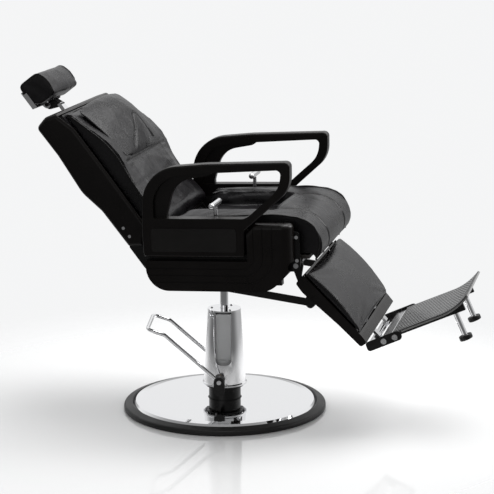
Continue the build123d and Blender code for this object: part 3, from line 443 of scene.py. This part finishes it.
def inflate(piece, held, cap):
    """Swells a piece by cloth simulation; held(point) is 1 where a seam or a board holds the cover."""
    group = piece.vertex_groups.new(name="held")
    for vertex in piece.data.vertices:
        weight = min(max(held(vertex.co), 0.0), 1.0)
        if weight > 0.01:
            group.add([vertex.index], weight, "REPLACE")
    before = [v.co.copy() for v in piece.data.vertices]
    cloth = piece.modifiers.new("cloth", "CLOTH")
    settings = cloth.settings
    settings.quality = 4
    settings.mass = 0.35
    settings.tension_stiffness = 12
    settings.compression_stiffness = 12
    settings.bending_stiffness = 1.2
    settings.use_pressure = True
    settings.uniform_pressure_force = PRESSURE
    settings.vertex_group_mass = "held"
    settings.effector_weights.gravity = 0
    cloth.collision_settings.use_collision = False
    cloth.point_cache.frame_start, cloth.point_cache.frame_end = 1, FRAMES
    for number in range(1, FRAMES + 1):
        bpy.context.scene.frame_set(number)
    graph = bpy.context.evaluated_depsgraph_get()
    after = [v.co.copy() for v in piece.evaluated_get(graph).data.vertices]
    piece.modifiers.clear()
    piece.vertex_groups.clear()
    bpy.context.scene.frame_set(1)
    for vertex, start, end in zip(piece.data.vertices, before, after):
        shift = end - start
        if shift.length > cap:
            shift = shift.normalized() * cap
        vertex.co = start + shift
    piece.data.update()


def relax(piece, rounds, factor=0.5):
    """Evens out a mesh."""
    use_modifier(piece, "SMOOTH", factor=factor, iterations=rounds)


def push_verts(piece, offset):
    """Moves each vertex along its normal by offset(point, normal)."""
    normals = [v.normal.copy() for v in piece.data.vertices]
    for vertex, normal in zip(piece.data.vertices, normals):
        vertex.co = vertex.co + normal * offset(vertex.co, normal)
    piece.data.update()


def shade_smooth(mesh):
    """Smooth shading on every face."""
    mesh.polygons.foreach_set("use_smooth", [True] * len(mesh.polygons))


def seam_depth(distance, width, depth):
    """How far a seam pulls the cover in at a distance from it."""
    if distance >= width:
        return 0.0
    return -depth * (0.5 + 0.5 * math.cos(math.pi * distance / width)) ** 1.5


def smooth_step(share):
    """Eases from 0 to 1 as share goes from 0 to 1."""
    share = min(max(share, 0.0), 1.0)
    return share * share * (3 - 2 * share)


def crease(piece, scale, depth, facing=None, least=0.1):
    """Soft uneven dents of a sat-on cover, strongest where it faces one way."""
    def dent(point, normal):
        share = max(normal.dot(facing), least) if facing else 1.0
        return depth * noise.fractal(point * scale, 0.9, 2.1, 3) * share

    push_verts(piece, dent)


def surface_tree(piece):
    """Nearest-point finder on a piece."""
    points = [v.co for v in piece.data.vertices]
    return BVHTree.FromPolygons(points, [p.vertices[:] for p in piece.data.polygons])


def snapped(tree, points, lift=0.0):
    """Points moved to the nearest place on a surface, lifted off it, and evened along the run."""
    on = []
    for p in points:
        place, normal, _, _ = tree.find_nearest(p)
        on.append(place + normal * lift)
    for _ in range(2):
        on = [on[0]] + [(a + b * 2 + c) / 4 for a, b, c in zip(on, on[1:], on[2:])] + [on[-1]]
    return on


CORD_SIDES = 3


def tube(name, points, radius, body, finish):
    """Round cord along points, as a mesh."""
    curve = bpy.data.curves.new(name, "CURVE")
    curve.dimensions = "3D"
    curve.bevel_depth = radius
    curve.bevel_resolution = CORD_SIDES
    curve.use_fill_caps = True
    spline = curve.splines.new("POLY")
    spline.points.add(len(points) - 1)
    for target, p in zip(spline.points, points):
        target.co = (*p, 1)
    holder = bpy.data.objects.new(name + "_curve", curve)
    bpy.context.scene.collection.objects.link(holder)
    bpy.context.view_layer.update()
    mesh = bpy.data.meshes.new_from_object(holder.evaluated_get(bpy.context.evaluated_depsgraph_get()))
    bpy.data.objects.remove(holder)
    mesh.name = name
    shade_smooth(mesh)
    return link_piece(name, mesh, body, finish)


def stitch_row(name, points, body, finish, pitch=0.008, length=0.0052, radius=0.0006):
    """Row of thread stitches along points, each a small lozenge lying on the cover."""
    mesh = bpy.data.meshes.new(name)
    made = bmesh.new()
    run = 0.0
    for a, b in zip(points, points[1:]):
        step = (b - a).length
        if step < 1e-6:
            continue
        while run < step:
            add_stitch(made, a.lerp(b, run / step), (b - a).normalized(), length, radius)
            run += pitch
        run -= step
    made.to_mesh(mesh)
    made.free()
    shade_smooth(mesh)
    return link_piece(name, mesh, body, finish)


def add_stitch(made, centre, heading, length, radius):
    """One stitch: a six-sided spindle."""
    side = heading.orthogonal().normalized()
    other = heading.cross(side)
    rings = []
    for share, size in ((-0.5, 0.35), (-0.3, 1.0), (0.3, 1.0), (0.5, 0.35)):
        ring = []
        for k in range(6):
            angle = k * math.pi / 3
            spoke = side * math.cos(angle) + other * math.sin(angle)
            ring.append(made.verts.new(centre + heading * length * share + spoke * radius * size))
        rings.append(ring)
    for low, high in zip(rings, rings[1:]):
        for k in range(6):
            made.faces.new((low[k], low[(k + 1) % 6], high[(k + 1) % 6], high[k]))
    made.faces.new(rings[0][::-1])
    made.faces.new(rings[-1])


# ---- cushions ------------------------------------------------------------------------------------

VOXEL = 0.005
WELD = 0.00001


def remesh(piece):
    """Even mesh over a closed form."""
    use_modifier(piece, "REMESH", mode="VOXEL", voxel_size=VOXEL)


def soft_copy(name, source, body, shrink, finish, rounds=5):
    """Evenly meshed copy of a plain soft solid, drawn in a little and rounded, ready to swell."""
    mesh = frame["nodes"][source].data.copy()
    welded = bmesh.new()
    welded.from_mesh(mesh)
    bmesh.ops.remove_doubles(welded, verts=welded.verts, dist=WELD)
    welded.to_mesh(mesh)
    welded.free()
    piece = link_piece(name, mesh, body, finish)
    remesh(piece)
    relax(piece, rounds)
    push_verts(piece, lambda point, normal: -shrink)
    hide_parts(source)
    return piece


def finish_cushion(piece, finish):
    """Last steps on a cushion: finer mesh, its finish again, smooth shading."""
    use_modifier(piece, "SUBSURF", levels=1, render_levels=1)
    piece.data.materials.clear()
    piece.data.materials.append(finish)
    shade_smooth(piece.data)


SEAT_SEAM_Y = 0.135
SEAT_DIP_FRONT = 0.205
SEAT_BASE = 0.566
PIPING_RADIUS = 0.0030
SEAT_SEAM_RADIUS = 0.0009


def seat_edge():
    """The seat's side outline, from the rear of the bolster round the roll to its underside."""
    corners = [(-0.070, 0.676), (0.06, 0.682), (0.19, 0.686), (0.262, 0.684), (0.305, 0.679),
               (0.334, 0.668), (0.356, 0.645), (0.368, 0.612), (0.365, 0.580), (0.356, 0.552),
               (0.346, 0.541)]
    return smooth_run(corners, 8)


def seam_pull(lines, width, depth):
    """Offset that sinks a cover along lines, each a function that gives the distance to it."""
    return lambda point, normal: sum(seam_depth(line(point), width, depth) for line in lines)


def over_roll(point):
    """Distance from the two seams that run over the seat's front roll."""
    x, _, y = measure("seat", point)
    if x < SEAT_DIP_FRONT - 0.02:
        return 1.0
    return abs(abs(y) - SEAT_SEAM_Y)


def make_seat(finish):
    """Seat cushion: raised sides, sunk middle and a full front roll."""
    piece = soft_copy("seat_cover", "seat_cushion", "seat", 0.006, finish)
    push_verts(piece, lambda point, normal: -0.002 if normal.z > 0.5 else 0.0)
    relax(piece, 3)

    def held(point):
        _, z, y = measure("seat", point)
        if z < SEAT_BASE:
            return 1.0
        side = 0.75 if abs(y) > SEAT_HALF - 0.010 else 0.0
        return max(side, 1 - over_roll(point) / 0.006)

    inflate(piece, held, 0.013)
    relax(piece, 4, 0.5)
    push_verts(piece, seam_pull([over_roll], 0.011, 0.0045))
    crease(piece, 14, 0.0016, Vector((0, 0, 1)), 0.2)
    finish_cushion(piece, finish)
    return piece


def make_seat_trim(piece, finishes):
    """Piping round the seat's sides, and the seams over its roll."""
    tree = surface_tree(piece)
    for side, name in ((-1, "right"), (1, "left")):
        rim = [place("seat", x, z, side * (SEAT_HALF - 0.003)) for x, z in seat_edge()]
        on = snapped(tree, rim, 0.0004)
        tube(f"seat_piping_{name}", on, PIPING_RADIUS, "seat", finishes["piping"])
        roll = [place("seat", x + 0.010, z + 0.006, side * SEAT_SEAM_Y)
                for x, z in seat_edge() if x > SEAT_DIP_FRONT + 0.02 and z > 0.545]
        tube(f"seat_seam_{name}", snapped(tree, roll), SEAT_SEAM_RADIUS, "seat",
             finishes["piping"])
        for row, shift in (("a", 0.0062), ("b", -0.0062)):
            line = [p + Vector((0, shift, 0)) for p in roll]
            stitch_row(f"seat_stitch_{name}_{row}", snapped(tree, line, 0.0002), "seat", finishes["thread"])


DISH_DEPTH = 0.016
DISH_HALF = 0.17
BACK_EDGE_V = 0.002
BACK_TOP_U = 0.49
PILLOW_LOW_U = 0.268


def make_back(finish):
    """Lower back cushion, sewn to the shell round its edge and fullest at the small of the back."""
    piece = soft_copy("back_cover", "back_cushion", "backrest", 0.005, finish)

    def rim(point):
        u, v, y = measure("back", point)
        return min(BACK_HALF - abs(y), BACK_TOP_U - u) if v > BACK_EDGE_V else 0.0

    def across(point):
        u, _, y = measure("back", point)
        return abs(u - PILLOW_LOW_U + 0.012) if abs(y) < PILLOW_HALF else 1.0

    def held(point):
        _, v, _ = measure("back", point)
        if v < BACK_EDGE_V:
            return 1.0
        return max(1 - rim(point) / 0.012, 0.0)

    inflate(piece, held, 0.014)
    relax(piece, 2, 0.35)

    def dish(point, normal):
        u, v, y = measure("back", point)
        if v < 0.01:
            return 0.0
        middle = max(0.0, 1 - (abs(y) / DISH_HALF) ** 2.5)
        along = smooth_step((u - 0.02) / 0.08) * smooth_step((0.36 - u) / 0.12)
        return -DISH_DEPTH * middle * along * max(0.0, normal.dot(AXES["back"][2]))

    push_verts(piece, dish)
    crease(piece, 12, 0.0022, AXES["back"][2])
    push_verts(piece, seam_pull([across], 0.010, 0.003))
    finish_cushion(piece, finish)
    return piece


def make_back_trim(piece, finishes):
    """Piping down both sides of the back and round its top corners."""
    tree = surface_tree(piece)
    reach = BACK_HALF - 0.004
    side_run = [(0.05, 0.046), (0.12, 0.036), (0.20, 0.038), (0.28, 0.046), (0.35, 0.040), (0.42, 0.020),
                (0.47, 0.004)]
    run = smooth_run(side_run, 8)
    top = [(0.483, 0.002, reach - 0.006), (0.487, 0.001, reach - 0.03), (0.488, 0.001, 0.15),
           (0.488, 0.001, 0.0)]
    half = [place("back", u, v, reach) for u, v in run] + [place("back", u, v, y) for u, v, y in top]
    whole = mirrored_run(half)
    tube("back_piping", snapped(tree, whole, 0.0004), PIPING_RADIUS, "backrest",
         finishes["piping"])


PILLOW_ARCH = ((0.0, 1.0), (0.23, 0.86), (0.47, 0.63), (0.70, 0.39), (0.88, 0.20), (1.0, 0.05))
PILLOW_FRONT = ((0.262, 0.058), (0.278, 0.074), (0.315, 0.090), (0.355, 0.099), (0.405, 0.097),
                (0.450, 0.080), (0.476, 0.056), (0.486, 0.034))
PILLOW_REAR = ((0.480, 0.021), (0.440, 0.028), (0.400, 0.039), (0.345, 0.054), (0.290, 0.058),
               (0.266, 0.054))
PILLOW_MIDDLE_U = 0.375


def arch(share):
    """Thickness of the upper pad at a share of its half-width, against its middle."""
    for (low, high_part), (high, low_part) in zip(PILLOW_ARCH, PILLOW_ARCH[1:]):
        if share <= high:
            step = (share - low) / (high - low)
            return high_part + (low_part - high_part) * step
    return PILLOW_ARCH[-1][1]


def pillow_section(share):
    """Closed outline of the upper pad at a share of its half-width from the middle."""
    draw = 1 - 0.10 * share ** 4
    section = []
    for u, v in smooth_run(list(PILLOW_FRONT), 5):
        floor = pillow_floor(u)
        section.append((PILLOW_MIDDLE_U + (u - PILLOW_MIDDLE_U) * draw, floor + (v - floor) * arch(share)))
    for u, v in smooth_run(list(PILLOW_REAR), 3):
        section.append((PILLOW_MIDDLE_U + (u - PILLOW_MIDDLE_U) * draw, min(v, pillow_floor(u) - 0.001)))
    return section


def pillow_floor(u):
    """Where the pad's underside lies at u up the back."""
    share = min(max((u - 0.26) / 0.225, 0.0), 1.0)
    return 0.0580 - 0.038 * share ** 1.6


def make_pillow(finish):
    """Upper back pad: a crowned form that thins out to its sides, with a tongue-shaped seam."""
    steps = 24
    sections = []
    for k in range(-steps, steps + 1):
        share = abs(k) / steps
        y = math.copysign(PILLOW_HALF * 0.985 * math.sin(share * math.pi / 2), k)
        outline = pillow_section(math.sin(share * math.pi / 2) * 0.995)
        sections.append([place("back", u, v, y) for u, v in outline])
    mesh = lofted_mesh("upper_pad", sections)
    piece = link_piece("upper_pad", mesh, "backrest", finish)
    remesh(piece)
    relax(piece, 2)

    def held(point):
        u, v, _ = measure("back", point)
        return 1.0 if v < pillow_floor(u) + 0.006 else max(0.0, 1 - tongue(point) / 0.006)

    inflate(piece, held, 0.008)
    relax(piece, 1, 0.35)
    push_verts(piece, seam_pull([tongue], 0.010, 0.0045))
    crease(piece, 15, 0.0022, AXES["back"][2])
    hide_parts("back_pillow")
    finish_cushion(piece, finish)
    return piece


TONGUE = ((0.268, 0.112), (0.285, 0.098), (0.312, 0.070), (0.345, 0.042), (0.372, 0.020), (0.384, 0.0))


def tongue(point):
    """Distance from the tongue-shaped seam in the middle of the upper pad."""
    u, v, y = measure("back", point)
    if v < pillow_floor(u) + 0.012:
        return 1.0
    nearest = 1.0
    for (u0, y0), (u1, y1) in zip(TONGUE, TONGUE[1:]):
        run = Vector((u1 - u0, y1 - y0))
        share = min(max(Vector((u - u0, abs(y) - y0)).dot(run) / run.length_squared, 0), 1)
        nearest = min(nearest, (Vector((u, abs(y))) - Vector((u0, y0)) - run * share).length)
    return nearest


def make_pillow_trim(piece, finishes):
    """Sewn seam of the upper pad's tongue, with a row of stitches beside it."""
    tree = surface_tree(piece)
    half = [place("back", u, 0.12, y) for u, y in smooth_run(list(TONGUE), 6)]
    whole = mirrored_run(half)
    on = snapped(tree, whole, 0.0)
    tube("pad_seam", on, 0.0010, "backrest", finishes["piping"])
    stitch_row("pad_stitch", snapped(tree, [p + AXES["back"][1] * 0.006 for p in on], 0.0002), "backrest",
               finishes["thread"])


def make_headrest(finish):
    """Headrest pad: a thick rounded form with flat side panels."""
    piece = soft_copy("head_cover", "headrest_pad", "headrest", 0.0015, finish, rounds=3)

    def held(point):
        u, _, y = measure("back", point)
        if u < 0.575 and abs(y) < 0.055:
            return 1.0
        return 0.85 if abs(y) > HEAD_HALF - 0.010 else 0.0

    inflate(piece, held, 0.008)
    relax(piece, 2, 0.35)
    crease(piece, 18, 0.0012)
    finish_cushion(piece, finish)
    return piece


def make_headrest_trim(piece, finishes):
    """Piping round both side panels of the headrest."""
    tree = surface_tree(piece)
    corners = [(0.580, -0.050), (0.596, -0.033), (0.625, -0.032), (0.652, -0.042), (0.660, -0.062),
               (0.660, -0.105), (0.650, -0.121), (0.620, -0.123), (0.592, -0.122)]
    for side, name in ((-1, "right"), (1, "left")):
        rim = [place("back", u, v, side * (HEAD_HALF - 0.003)) for u, v in smooth_run(corners, 6)]
        tube(f"head_piping_{name}", snapped(tree, rim, 0.0002), 0.0024, "headrest",
             finishes["piping"])


def make_leg_pad(finish):
    """Calf pad: a broad rounded slab held down round its edge."""
    piece = soft_copy("leg_cover", "legrest_pad", "legrest", 0.003, finish)

    def held(point):
        _, n, y = measure("leg", point)
        return 1.0 if n < -0.012 or abs(y) > LEG_HALF - 0.006 else 0.0

    inflate(piece, held, 0.010)
    relax(piece, 2, 0.35)
    crease(piece, 13, 0.0006, AXES["leg"][1])
    finish_cushion(piece, finish)
    return piece


def make_leg_trim(piece, finishes):
    """Piping round the calf pad's rim."""
    tree = surface_tree(piece)
    reach = LEG_HALF - 0.003
    side_run = smooth_run([(0.046, 0.006), (0.09, 0.012), (0.15, 0.014), (0.21, 0.009), (0.26, 0.002)], 6)
    lip = [(0.276, -0.001, reach - 0.005), (0.282, -0.001, reach - 0.03), (0.282, -0.001, 0.12),
           (0.282, -0.001, 0.0)]
    half = [place("leg", e, n, reach) for e, n in side_run] + [place("leg", e, n, y) for e, n, y in lip]
    whole = mirrored_run(half)
    tube("leg_piping", snapped(tree, whole, 0.0003), 0.0026, "legrest", finishes["piping"])


# ---- small hard parts ----------------------------------------------------------------------------

TREAD_FLAT = 0.165
TREAD_RADIUS = 0.188
RIB_PITCH = 0.0085
RIB_HALF_WIDTH = 0.0017
RIB_HEIGHT = 0.0013
RIB_SLANT = 0.30
TREAD_START = 0.010
TREAD_END = 0.262
TREAD_REACH = 0.160


def tread_point(run, y, lift):
    """Point on the tread's top at a distance run along it, flat first and then curling upward."""
    if run <= TREAD_FLAT:
        return place("tread", run, lift, y)
    turn = (run - TREAD_FLAT) / TREAD_RADIUS
    inner = TREAD_RADIUS - lift
    return place("tread", TREAD_FLAT + inner * math.sin(turn), TREAD_RADIUS - inner * math.cos(turn), y)


def make_ribs(finish):
    """Fine slanted ribs over the tread, so that a shoe doesn't slide."""
    mesh = bmesh.new()
    drift = RIB_SLANT * TREAD_REACH
    count = int((TREAD_END - TREAD_START + 2 * drift) / RIB_PITCH)
    steps = 24
    for k in range(count):
        middle = TREAD_START - drift + k * RIB_PITCH
        rows = []
        for s in range(steps + 1):
            y = -TREAD_REACH + 2 * TREAD_REACH * s / steps
            run = middle - RIB_SLANT * y
            if TREAD_START < run < TREAD_END:
                rows.append([mesh.verts.new(tread_point(run - RIB_HALF_WIDTH, y, 0.0001)),
                             mesh.verts.new(tread_point(run, y, RIB_HEIGHT)),
                             mesh.verts.new(tread_point(run + RIB_HALF_WIDTH, y, 0.0001))])
        for near, far in zip(rows, rows[1:]):
            mesh.faces.new((near[0], near[1], far[1], far[0]))
            mesh.faces.new((near[1], near[2], far[2], far[1]))
    bmesh.ops.recalc_face_normals(mesh, faces=mesh.faces)
    ribs = bpy.data.meshes.new("tread_ribs")
    mesh.to_mesh(ribs)
    mesh.free()
    return link_piece("tread_ribs", ribs, "footplate", finish)


CAP_SCREW_RING = 0.0405
CAP_TOP = 0.330
PUMP_YAW = math.radians(10)


def button_screw(name, centre, radius, height, body, finish):
    """Low domed screw head with a round socket, upright at a point."""
    profile = [(0.42 * radius, 0.35 * height), (0.42 * radius, 0.93 * height), (0.55 * radius, height),
               (0.80 * radius, 0.82 * height), (0.96 * radius, 0.45 * height), (radius, 0.0)]
    mesh = bmesh.new()
    sides = 24
    rings = []
    for reach, z in profile:
        rings.append([mesh.verts.new((centre[0] + reach * math.cos(2 * math.pi * k / sides),
                                      centre[1] + reach * math.sin(2 * math.pi * k / sides),
                                      centre[2] + z)) for k in range(sides)])
    for low, high in zip(rings, rings[1:]):
        for k in range(sides):
            mesh.faces.new((low[k], low[(k + 1) % sides], high[(k + 1) % sides], high[k]))
    mesh.faces.new(rings[0])
    bmesh.ops.recalc_face_normals(mesh, faces=mesh.faces)
    screw = bpy.data.meshes.new(name)
    mesh.to_mesh(screw)
    mesh.free()
    piece = link_piece(name, screw, body, finish)
    shade_smooth(piece.data)
    return piece


def make_cap_screws(finish):
    """Three small screws that hold the pump's cap."""
    for k in range(3):
        turn = PUMP_YAW + math.radians(60 + 120 * k)
        centre = (CAP_SCREW_RING * math.cos(turn), CAP_SCREW_RING * math.sin(turn), CAP_TOP)
        button_screw(f"cap_screw_{k + 1}", centre, 0.0042, 0.0024, "base", finish)


PEG_TOP_N = -0.023


def plate_pegs(finish):
    """Bright plating on the two pegs under the footrest's rails."""
    rails = frame["nodes"]["foot_rails"]
    rails.data.materials.append(finish)
    for face in rails.data.polygons:
        _, n, _ = measure("tread", rails.matrix_world @ face.center)
        if n < PEG_TOP_N:
            face.material_index = len(rails.data.materials) - 1


def main():
    """Builds the whole scene."""
    make_camera()
    make_light()
    make_floor()
    finishes = make_materials()
    dress_cad(finishes)
    seat = make_seat(finishes["black_leather"])
    back = make_back(finishes["black_leather"])
    pad = make_pillow(finishes["black_leather"])
    head = make_headrest(finishes["black_leather"])
    leg = make_leg_pad(finishes["black_leather"])
    make_seat_trim(seat, finishes)
    make_back_trim(back, finishes)
    make_pillow_trim(pad, finishes)
    make_headrest_trim(head, finishes)
    make_leg_trim(leg, finishes)
    make_ribs(finishes["tread_metal"])
    make_cap_screws(finishes["bright_screw"])
    plate_pegs(finishes["chrome"])


main()
